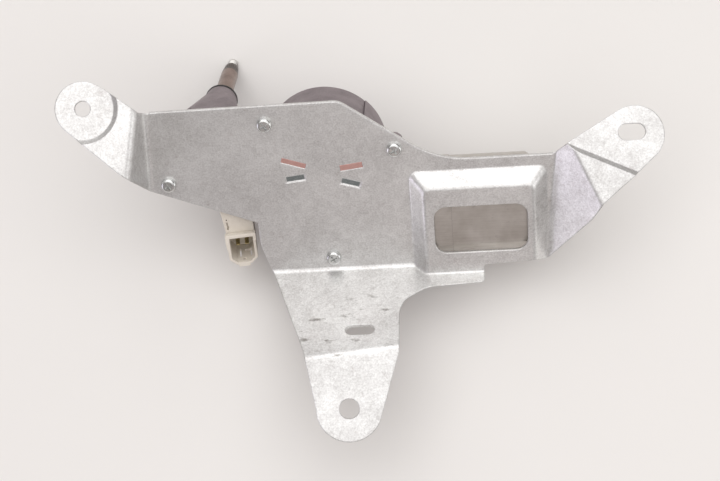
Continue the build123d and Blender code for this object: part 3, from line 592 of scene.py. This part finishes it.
@dataclass
class GearCase(SubAssembly):
    """The casting with its bushes, pins and seal."""

    # The back of the wheel well: ring, hub and ribs
    back_level: float = -41.5
    back_sink: float = 0.25
    back_height: float = 1.2
    ring_radius: float = 23.0
    ring_width: float = 1.5
    hub_radius: float = 7.5
    back_ribs: int = 6
    rib_centre: Triple = (15.5, 0, 0.05)
    rib_size: Triple = (17.0, 1.3, 1.0)
    rib_turn: float = 30
    # The tunnel's hoops: inner radius, width, length and steps round
    hoop_radius: float = 9.9
    hoop_width: float = 1.0
    hoop_length: float = 1.6
    hoop_steps: int = 72
    hoops_at: tuple[float, ...] = (-31.0, -24.0, 41.0, 47.0)
    # The ejector pins' marks on the chamber's floor
    chamber_level: float = -19.1
    pin_sink: float = 0.05
    pin_radius: float = 2.3
    pin_height: float = 0.4
    pins_at: tuple[Pair, ...] = ((-76.0, 3.0), (-38.0, 20.0), (-38.0, -12.0), (-62.0, -6.0))

    def __post_init__(self) -> None:
        """Names the finishes."""
        self.finishes = {"gear_case": DIE_CAST, "wheel_axle": TURNED_SHAFT, "wheel_washer": SPRING_STEEL,
                         "sleeve_bushes": SINTERED_BRONZE, "shaft_seal": NITRILE, "thrust_washer": SPRING_STEEL,
                         "sector_pin": TURNED_SHAFT, "armature_bushes": SINTERED_BRONZE,
                         "thrust_ball": SPRING_STEEL, "thrust_screw": BRIGHT_ZINC}

    def well_back(self) -> None:
        """Casts the ring, hub and ribs on the back of the wheel well."""
        shape = bmesh.new()
        hoop(shape, self.ring_radius, self.ring_width, self.back_height)
        disc(shape, (0, 0, 0), self.hub_radius, self.back_height)
        for number in range(self.back_ribs):
            block(shape, self.rib_centre, self.rib_size, turn=self.rib_turn + number * 360 / self.back_ribs)
        bmesh.ops.translate(shape, vec=(0, 0, self.back_level - self.back_sink), verts=shape.verts)
        on_bench(shape)
        self.add("well_back_ribs", shape, DIE_CAST, "housing", "die_cast_aluminium")

    def tunnel_hoops(self) -> None:
        """Casts the hoops that stiffen the worm tunnel."""
        shape = bmesh.new()
        for along in self.hoops_at:
            verts = hoop(shape, self.hoop_radius, self.hoop_width, self.hoop_length, self.hoop_steps)
            bmesh.ops.rotate(shape, matrix=Matrix.Rotation(math.pi / 2, 3, "Y"), verts=verts)
            bmesh.ops.translate(shape, vec=(along, *MOTOR_AXIS), verts=verts)
        on_bench(shape)
        self.add("tunnel_hoops", shape, DIE_CAST, "housing", "die_cast_aluminium")

    def ejector_marks(self) -> None:
        """Casts the shallow round marks that the die's ejector pins leave."""
        shape = bmesh.new()
        for spot in self.pins_at:
            disc(shape, (*spot, self.chamber_level - self.pin_sink), self.pin_radius, self.pin_height)
        on_bench(shape)
        self.add("ejector_marks", shape, DIE_CAST, "housing", "die_cast_aluminium")

    def dress(self) -> None:
        """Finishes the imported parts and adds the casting's small forms."""
        super().dress()
        self.well_back()
        self.tunnel_hoops()
        self.ejector_marks()


@dataclass
class Gearing(SubAssembly):
    """Worm wheel, rod, sector, pinion and the wiper spindle."""

    pitch: float = 1.0
    turns: int = 5
    turn_steps: int = 30
    crest: float = 3.18
    ridge: float = 0.4
    thread_from: float = -98.0

    def __post_init__(self) -> None:
        """Names the finishes."""
        self.finishes = {"worm_wheel": ACETAL, "crank_pin": TURNED_SHAFT, "park_disc": TINNED_BRASS,
                         "connecting_rod": MILL_STRIP, "sector_gear": MILL_STRIP, "rod_pin": TURNED_SHAFT,
                         "output_shaft": SPINDLE, "output_pinion": TURNED_SHAFT, "shaft_clip": SPRING_STEEL}

    def thread(self) -> None:
        """Rolls the spindle's thread: a small ridge carried round and up."""
        shape = bmesh.new()
        bmesh.ops.create_circle(shape, segments=3, radius=self.ridge)
        bmesh.ops.rotate(shape, matrix=Matrix.Rotation(math.pi / 2, 3, "X"), verts=shape.verts)
        bmesh.ops.rotate(shape, matrix=Matrix.Rotation(-math.pi / 6, 3, "Y"), verts=shape.verts)
        bmesh.ops.translate(shape, vec=(self.crest - self.ridge, 0, 0), verts=shape.verts)
        sweep(shape, (0, 0, 1), self.turns * math.tau, self.turns * self.turn_steps,
              rise=(0, 0, self.pitch / self.turn_steps))
        close_ends(shape, 3)
        bmesh.ops.recalc_face_normals(shape, faces=shape.faces)
        bmesh.ops.translate(shape, vec=(*OUTPUT_AXIS, self.thread_from), verts=shape.verts)
        on_bench(shape)
        self.add("spindle_thread", shape, SPINDLE, "output", "turned_steel")

    def dress(self) -> None:
        """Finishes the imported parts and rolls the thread."""
        super().dress()
        self.thread()


@dataclass
class Motor(SubAssembly):
    """The drawn can with magnets, armature, commutator and brushes."""

    spring_turns: int = 6
    spring_steps: int = 18
    # The spring's radius and length, and where it stands: along the motor and out from its axis
    spring_mm: Pair = (1.65, 6.5)
    spring_at: Pair = (62.2, 15.9)
    wire_mm: float = 0.25
    wire_sides: int = 8
    coils: int = 12
    coil_half: float = 5.6
    coil_depth: tuple[float, ...] = (9.4, 11.4)
    bundle_mm: float = 1.25
    bundle_sides: int = 10
    loop_steps: int = 14
    loop_sink: float = 0.4
    overhang: float = 3.1
    core_middle: float = 86.0
    core_half: float = 11.0
    can_end: float = 111.0
    # The bead on the can's end: inner radius, width and height, and how far it sinks in
    bead: Triple = (17.5, 1.2, 1.0)
    bead_sink: float = 0.1
    skirt_radius: float = 27.35
    skirt_flat: float = 24.35
    skirt_gauge: float = 0.7
    skirt_from: float = 55.5
    skirt_length: float = 11.4
    skirt_steps: int = 128
    # Sprung up off the bench
    skirt_lift: Triple = (0.0, 0.2, 0.26)

    def __post_init__(self) -> None:
        """Names the finishes."""
        self.finishes = {"motor_can": DRAWN_CAN, "can_screws": BRIGHT_ZINC, "magnets": FERRITE,
                         "rear_bush": SINTERED_BRONZE, "armature_shaft": TURNED_ARMATURE,
                         "armature_core": LAMINATIONS, "armature_windings": ENAMELLED_WIRE,
                         "commutator": COMMUTATOR_COPPER, "brush_card": PHENOLIC, "brushes": CARBON,
                         "brush_springs": SPRING_STEEL}

    def spring(self, name: str, side: int) -> None:
        """Winds one brush spring between its brush and the motor joint.

        Args:
            name: the piece's name.
            side: minus one or one, the side of the commutator that it stands on.
        """
        steps = self.spring_steps * self.spring_turns
        shape = bmesh.new()
        bmesh.ops.create_circle(shape, segments=self.wire_sides, radius=self.wire_mm)
        bmesh.ops.translate(shape, vec=(self.spring_mm[0] - self.wire_mm, 0, 0), verts=shape.verts)
        sweep(shape, (0, 1, 0), math.tau * self.spring_turns, steps,
              rise=(0, (self.spring_mm[1] - 2 * self.wire_mm) / steps, 0))
        close_ends(shape, self.wire_sides)
        bmesh.ops.translate(shape, vec=(0, self.wire_mm, 0), verts=shape.verts)
        bmesh.ops.scale(shape, vec=(1, side, 1), verts=shape.verts)
        along, out = self.spring_at
        bmesh.ops.translate(shape, vec=(along, MOTOR_AXIS[0] + side * out, MOTOR_AXIS[1]), verts=shape.verts)
        on_bench(shape)
        bmesh.ops.recalc_face_normals(shape, faces=shape.faces)
        self.add(name, shape, SPRING_STEEL, "housing", "spring_steel", ("brush_springs",), smooth=True)

    def windings(self) -> None:
        """Winds the armature's coils: a loop over each end of the core for every coil."""
        shape = bmesh.new()
        for number in range(self.coils):
            bundle = bmesh.new()
            depth = self.coil_depth[number % len(self.coil_depth)]
            for end in (-1, 1):
                loop = bmesh.new()
                bmesh.ops.create_circle(loop, segments=self.bundle_sides, radius=self.bundle_mm)
                bmesh.ops.rotate(loop, matrix=Matrix.Rotation(math.pi / 2, 3, "Y"), verts=loop.verts)
                bmesh.ops.translate(loop, vec=(0, -self.coil_half, 0), verts=loop.verts)
                sweep(loop, (0, 0, 1), math.pi, self.loop_steps)
                close_ends(loop, self.bundle_sides)
                bmesh.ops.scale(loop, vec=(self.overhang / self.coil_half, 1, 1), verts=loop.verts)
                if end < 0:
                    bmesh.ops.scale(loop, vec=(-1, 1, 1), verts=loop.verts)
                bmesh.ops.translate(loop, vec=(end * (self.core_half - self.loop_sink), 0, depth), verts=loop.verts)
                bmesh.ops.recalc_face_normals(loop, faces=loop.faces)
                join(bundle, loop)
            bmesh.ops.rotate(bundle, matrix=Matrix.Rotation(number * math.tau / self.coils, 3, "X"),
                             verts=bundle.verts)
            join(shape, bundle)
        bmesh.ops.translate(shape, vec=(self.core_middle, *MOTOR_AXIS), verts=shape.verts)
        on_bench(shape)
        self.add("armature_coils", shape, ENAMELLED_WIRE, "armature", "copper", ("armature_windings",), smooth=True)

    def skirt(self) -> None:
        """Draws the can's thin skirt over the collar, flat where the can is flat."""
        shape = bmesh.new()
        bmesh.ops.create_circle(shape, cap_ends=True, segments=self.skirt_steps, radius=self.skirt_radius)
        for side in (-1, 1):
            bmesh.ops.bisect_plane(shape, geom=[*shape.verts, *shape.edges, *shape.faces],
                                   plane_co=(side * self.skirt_flat, 0, 0), plane_no=(side, 0, 0), clear_outer=True)
        bmesh.ops.dissolve_limit(shape, angle_limit=math.radians(1), verts=shape.verts, edges=shape.edges)
        bmesh.ops.inset_region(shape, faces=shape.faces[:], thickness=self.skirt_gauge, use_even_offset=True,
                               use_boundary=True)
        middle = [face for face in shape.faces if face.calc_center_median().length < 1 and len(face.verts) > 4]
        bmesh.ops.delete(shape, geom=middle, context="FACES")
        draw_out(shape, shape.faces[:], self.skirt_length)
        bmesh.ops.rotate(shape, matrix=Matrix.Rotation(math.pi / 2, 3, "Y"), verts=shape.verts)
        bmesh.ops.translate(shape, vec=(self.skirt_from, *MOTOR_AXIS), verts=shape.verts)
        bmesh.ops.translate(shape, vec=self.skirt_lift, verts=shape.verts)
        on_bench(shape)
        self.add("can_skirt", shape, DRAWN_CAN, "housing", "can_steel")

    def can_bead(self) -> None:
        """Rolls the bead round the can's end face."""
        shape = bmesh.new()
        verts = hoop(shape, *self.bead)
        bmesh.ops.rotate(shape, matrix=Matrix.Rotation(math.pi / 2, 3, "Y"), verts=verts)
        bmesh.ops.translate(shape, vec=(self.can_end - self.bead_sink, *MOTOR_AXIS), verts=verts)
        on_bench(shape)
        self.add("can_end_bead", shape, DRAWN_CAN, "housing", "can_steel")

    def dress(self) -> None:
        """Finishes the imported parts, winds the coils and springs, and adds the can's bead and skirt."""
        super().dress()
        self.windings()
        self.can_bead()
        self.skirt()
        self.spring("left_brush_spring", -1)
        self.spring("right_brush_spring", 1)


@dataclass(frozen=True)
class Form:
    """An outline on the socket's face, drawn out along the socket from one height to another."""

    outline: Outline
    near: float
    far: float
    soft: float = 0.0

    def add_to(self, shape: Shape) -> None:
        """Adds the form to a mesh, its edges softened if it says so."""
        body = bmesh.new()
        face = body.faces.new([body.verts.new((x, y, self.near)) for x, y in self.outline])
        draw_out(body, [face], self.far - self.near)
        if self.soft:
            soften(body, body.edges[:], self.soft, segments=3)
        join(shape, body)


@dataclass(frozen=True)
class Cut:
    """A straight slot through the socket: its centre, its sides and its turn in degrees."""

    centre: Triple
    size: Triple
    turn: float = 0.0


@dataclass
class Plug(SubAssembly):
    """The loom socket with its four blades, on the face of its mouth: x across, y up, z out of it."""

    face_centre: Triple = (-48.0, -46.2, -3.5)
    face_normal: Triple = (0.14, -0.1, 0.985)
    # The shell, its lip, its tab and the shroud over its neck
    forms: tuple[Form, ...] = (
        Form(((-7.9, 9.9), (7.9, 9.9), (7.9, -5.6), (4.2, -9.2), (-4.2, -9.2), (-7.9, -5.6)), 0.0, -24.0, 0.4),
        Form(((-8.5, 10.4), (8.2, 10.4), (8.2, 5.6), (6.2, 5.6), (6.2, 8.3), (-6.4, 8.3), (-6.4, 0.6), (-8.0, 0.6),
              (-8.6, 3.4)), 0.35, -2.6, 0.3),
        Form(((-3.2, -8.4), (3.2, -8.4), (3.2, -10.7), (-3.2, -10.7)), -0.1, -5.0, 0.25),
        Form(((-9.2, 24.6), (7.8, 18.6), (7.8, 9.0), (-7.6, 9.0)), -3.2, -13.5, 0.4))
    bay: Form = Form(((-6.4, 8.3), (6.4, 8.3), (6.4, -5.0), (3.6, -7.7), (-3.6, -7.7), (-6.4, -5.0)), 2.0, -18.0)
    neck_centre: Triple = (-48.5, -28.0, -11.3)
    neck_size: Triple = (11.0, 21.0, 9.0)
    neck_soft: float = 0.5
    # Key slots in the low wall with the bar that joins them, latch hole, side window, curved pull slot and its pip
    cuts: tuple[Cut, ...] = (
        Cut((-1.7, -8.4, -9.5), (0.9, 4.0, 8.0)), Cut((4.2, -8.4, -8.7), (0.9, 4.0, 7.2)),
        Cut((2.6, -8.4, -11.4), (4.0, 4.0, 1.9)), Cut((0.3, -8.8, -3.1), (1.5, 5.4, 2.0)),
        Cut((-8.0, 1.5, -10.0), (4.0, 3.0, 6.0)), Cut((-6.35, 15.6, -3.2), (0.85, 2.9, 3.0), 6),
        Cut((-6.25, 13.3, -3.2), (1.0, 2.5, 3.0), -9), Cut((-6.5, 18.4, -3.2), (0.8, 0.8, 3.0)))

    def __post_init__(self) -> None:
        """Names the finishes."""
        self.finishes = {"connector_terminals": TINNED_BRASS}

    def to_plane(self, shape: Shape) -> None:
        """Takes a mesh from the face's axes to the bracket's plane."""
        normal = Vector(self.face_normal).normalized()
        across = (Vector((1, 0, 0)) - normal * normal.x).normalized()
        turn = Matrix((across, normal.cross(across), normal)).transposed().to_4x4()
        bmesh.ops.transform(shape, matrix=Matrix.Translation(self.face_centre) @ turn, verts=shape.verts)

    def shell(self) -> None:
        """Moulds the socket: its forms and its neck in one, with the bay and the slots cut out of them."""
        solid = bmesh.new()
        for form in self.forms:
            form.add_to(solid)
        self.to_plane(solid)
        block(solid, self.neck_centre, self.neck_size, soft=self.neck_soft)
        on_bench(solid)
        blank = place_object("socket_blank", solid)
        hollow = bmesh.new()
        self.bay.add_to(hollow)
        for cut in self.cuts:
            slot = bmesh.new()
            block(slot, (0, 0, 0), cut.size, soft=0.0, turn=cut.turn)
            bmesh.ops.translate(slot, vec=cut.centre, verts=slot.verts)
            join(hollow, slot)
        self.to_plane(hollow)
        on_bench(hollow)
        cutter = place_object("socket_hollow", hollow)
        carve = blank.modifiers.new("carve", "BOOLEAN")
        carve.object = cutter
        carve.operation = "DIFFERENCE"
        carve.solver = "EXACT"
        carve.use_self = True
        bpy.context.view_layer.update()
        carved = bpy.data.meshes.new_from_object(blank.evaluated_get(bpy.context.evaluated_depsgraph_get()))
        shape = bmesh.new()
        shape.from_mesh(carved)
        for thing in (blank, cutter):
            bpy.data.objects.remove(thing)
        self.add("plug_socket", shape, IVORY_POLYESTER, "housing", "ivory_plastic", ("connector_shell",))

    def dress(self) -> None:
        """Finishes the blades and makes the socket."""
        super().dress()
        self.shell()


@dataclass(frozen=True)
class Lamp:
    """A square soft lamp: where it hangs and its side, in metres, its power in watts and its colour."""

    name: str
    spot: Triple
    size: float
    watts: float
    tint: str = "#FFFFFF"


@dataclass
class Studio:
    """A pale floor, soft lamps and the camera."""

    floor_size: float = 6.0
    lamps: tuple[Lamp, ...] = (
        Lamp("top_softbox", (0.1, -0.05, 1.5), 2.3, 21), Lamp("back_softbox", (-0.1, 1.05, 1.3), 2.2, 12),
        Lamp("front_fill", (0.1, -1.4, 0.6), 0.9, 0.7, "#FFEDE8"),
        Lamp("left_fill", (-1.3, -0.7, 0.3), 0.8, 3.4, "#F4EEFF"), Lamp("right_fill", (1.3, -0.4, 0.5), 0.8, 3.4))
    lit_spot: Triple = (0, 0, 0.05)
    eye: Triple = (0.046878, -0.142124, 0.780332)
    gaze: Triple = (-0.0697565, 0.181790, -0.980860)
    head: Triple = (0.0504697, 0.98264, 0.17853)
    lens_mm: float = 70.0
    sensor_mm: float = 36.0

    def floor(self) -> None:
        """Lays the pale floor."""
        shape = bmesh.new()
        bmesh.ops.create_grid(shape, x_segments=1, y_segments=1, size=self.floor_size / 2)
        floor = place_object("studio_floor", shape)
        material = bpy.data.materials.new("studio_paper")
        tree = clean_tree(material)
        place = add_node(tree, "ShaderNodeTexCoord").outputs["Object"]
        grain = add_node(tree, "ShaderNodeTexNoise", {"Vector": place, "Scale": 900.0}).outputs["Fac"]
        bump = add_node(tree, "ShaderNodeBump", {"Height": grain, "Distance": 0.00002}).outputs[0]
        shader = add_node(tree, "ShaderNodeBsdfPrincipled", {"Base Color": linear("#E4E1DE"), "Roughness": 0.9,
                          "Normal": bump, "Specular IOR Level": 0.1})
        add_node(tree, "ShaderNodeOutputMaterial", {"Surface": shader.outputs[0]})
        floor.data.materials.append(material)

    def hang(self, lamp: Lamp) -> None:
        """Hangs one soft lamp that looks at the unit."""
        data = bpy.data.lights.new(lamp.name, "AREA")
        data.energy = lamp.watts
        data.size = lamp.size
        data.color = linear(lamp.tint)[:3]
        hung = bpy.data.objects.new(lamp.name, data)
        hung.location = lamp.spot
        hung.rotation_euler = (Vector(self.lit_spot) - Vector(lamp.spot)).to_track_quat("-Z", "Y").to_euler()
        bpy.context.scene.collection.objects.link(hung)

    def light(self) -> None:
        """Lights the unit softly from above and behind, with weak fills in front and at the sides."""
        scene = bpy.context.scene
        scene.view_settings.view_transform = "Standard"
        world = bpy.data.worlds.new("studio_air")
        tree = clean_tree(world)
        air = add_node(tree, "ShaderNodeBackground", {"Color": linear("#B9B4B2"), "Strength": 0.62})
        add_node(tree, "ShaderNodeOutputWorld", {"Surface": air.outputs[0]})
        scene.world = world
        for lamp in self.lamps:
            self.hang(lamp)

    def camera(self) -> None:
        """Sets the camera over the unit."""
        data = bpy.data.cameras.new("camera")
        data.lens = self.lens_mm
        data.sensor_width = self.sensor_mm
        data.sensor_fit = "HORIZONTAL"
        data.clip_start = 0.01
        camera = bpy.data.objects.new("camera", data)
        gaze, head = Vector(self.gaze).normalized(), Vector(self.head).normalized()
        side = gaze.cross(head).normalized()
        head = side.cross(gaze)
        turn = Matrix((side, head, -gaze)).transposed().to_4x4()
        camera.matrix_world = Matrix.Translation(self.eye) @ turn
        bpy.context.scene.collection.objects.link(camera)
        bpy.context.scene.camera = camera

    def set_up(self) -> None:
        """Makes floor, lamps and camera."""
        self.floor()
        self.light()
        self.camera()


def main() -> None:
    """Dresses every sub-assembly in order and sets up the studio."""
    logging.basicConfig(level=logging.INFO, format="%(message)s")
    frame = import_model()
    for group in (Bracket, GearCase, Gearing, Motor, Plug):
        group(frame).dress()
    Studio().set_up()
    bpy.context.view_layer.update()


if __name__ == "__main__":
    main()
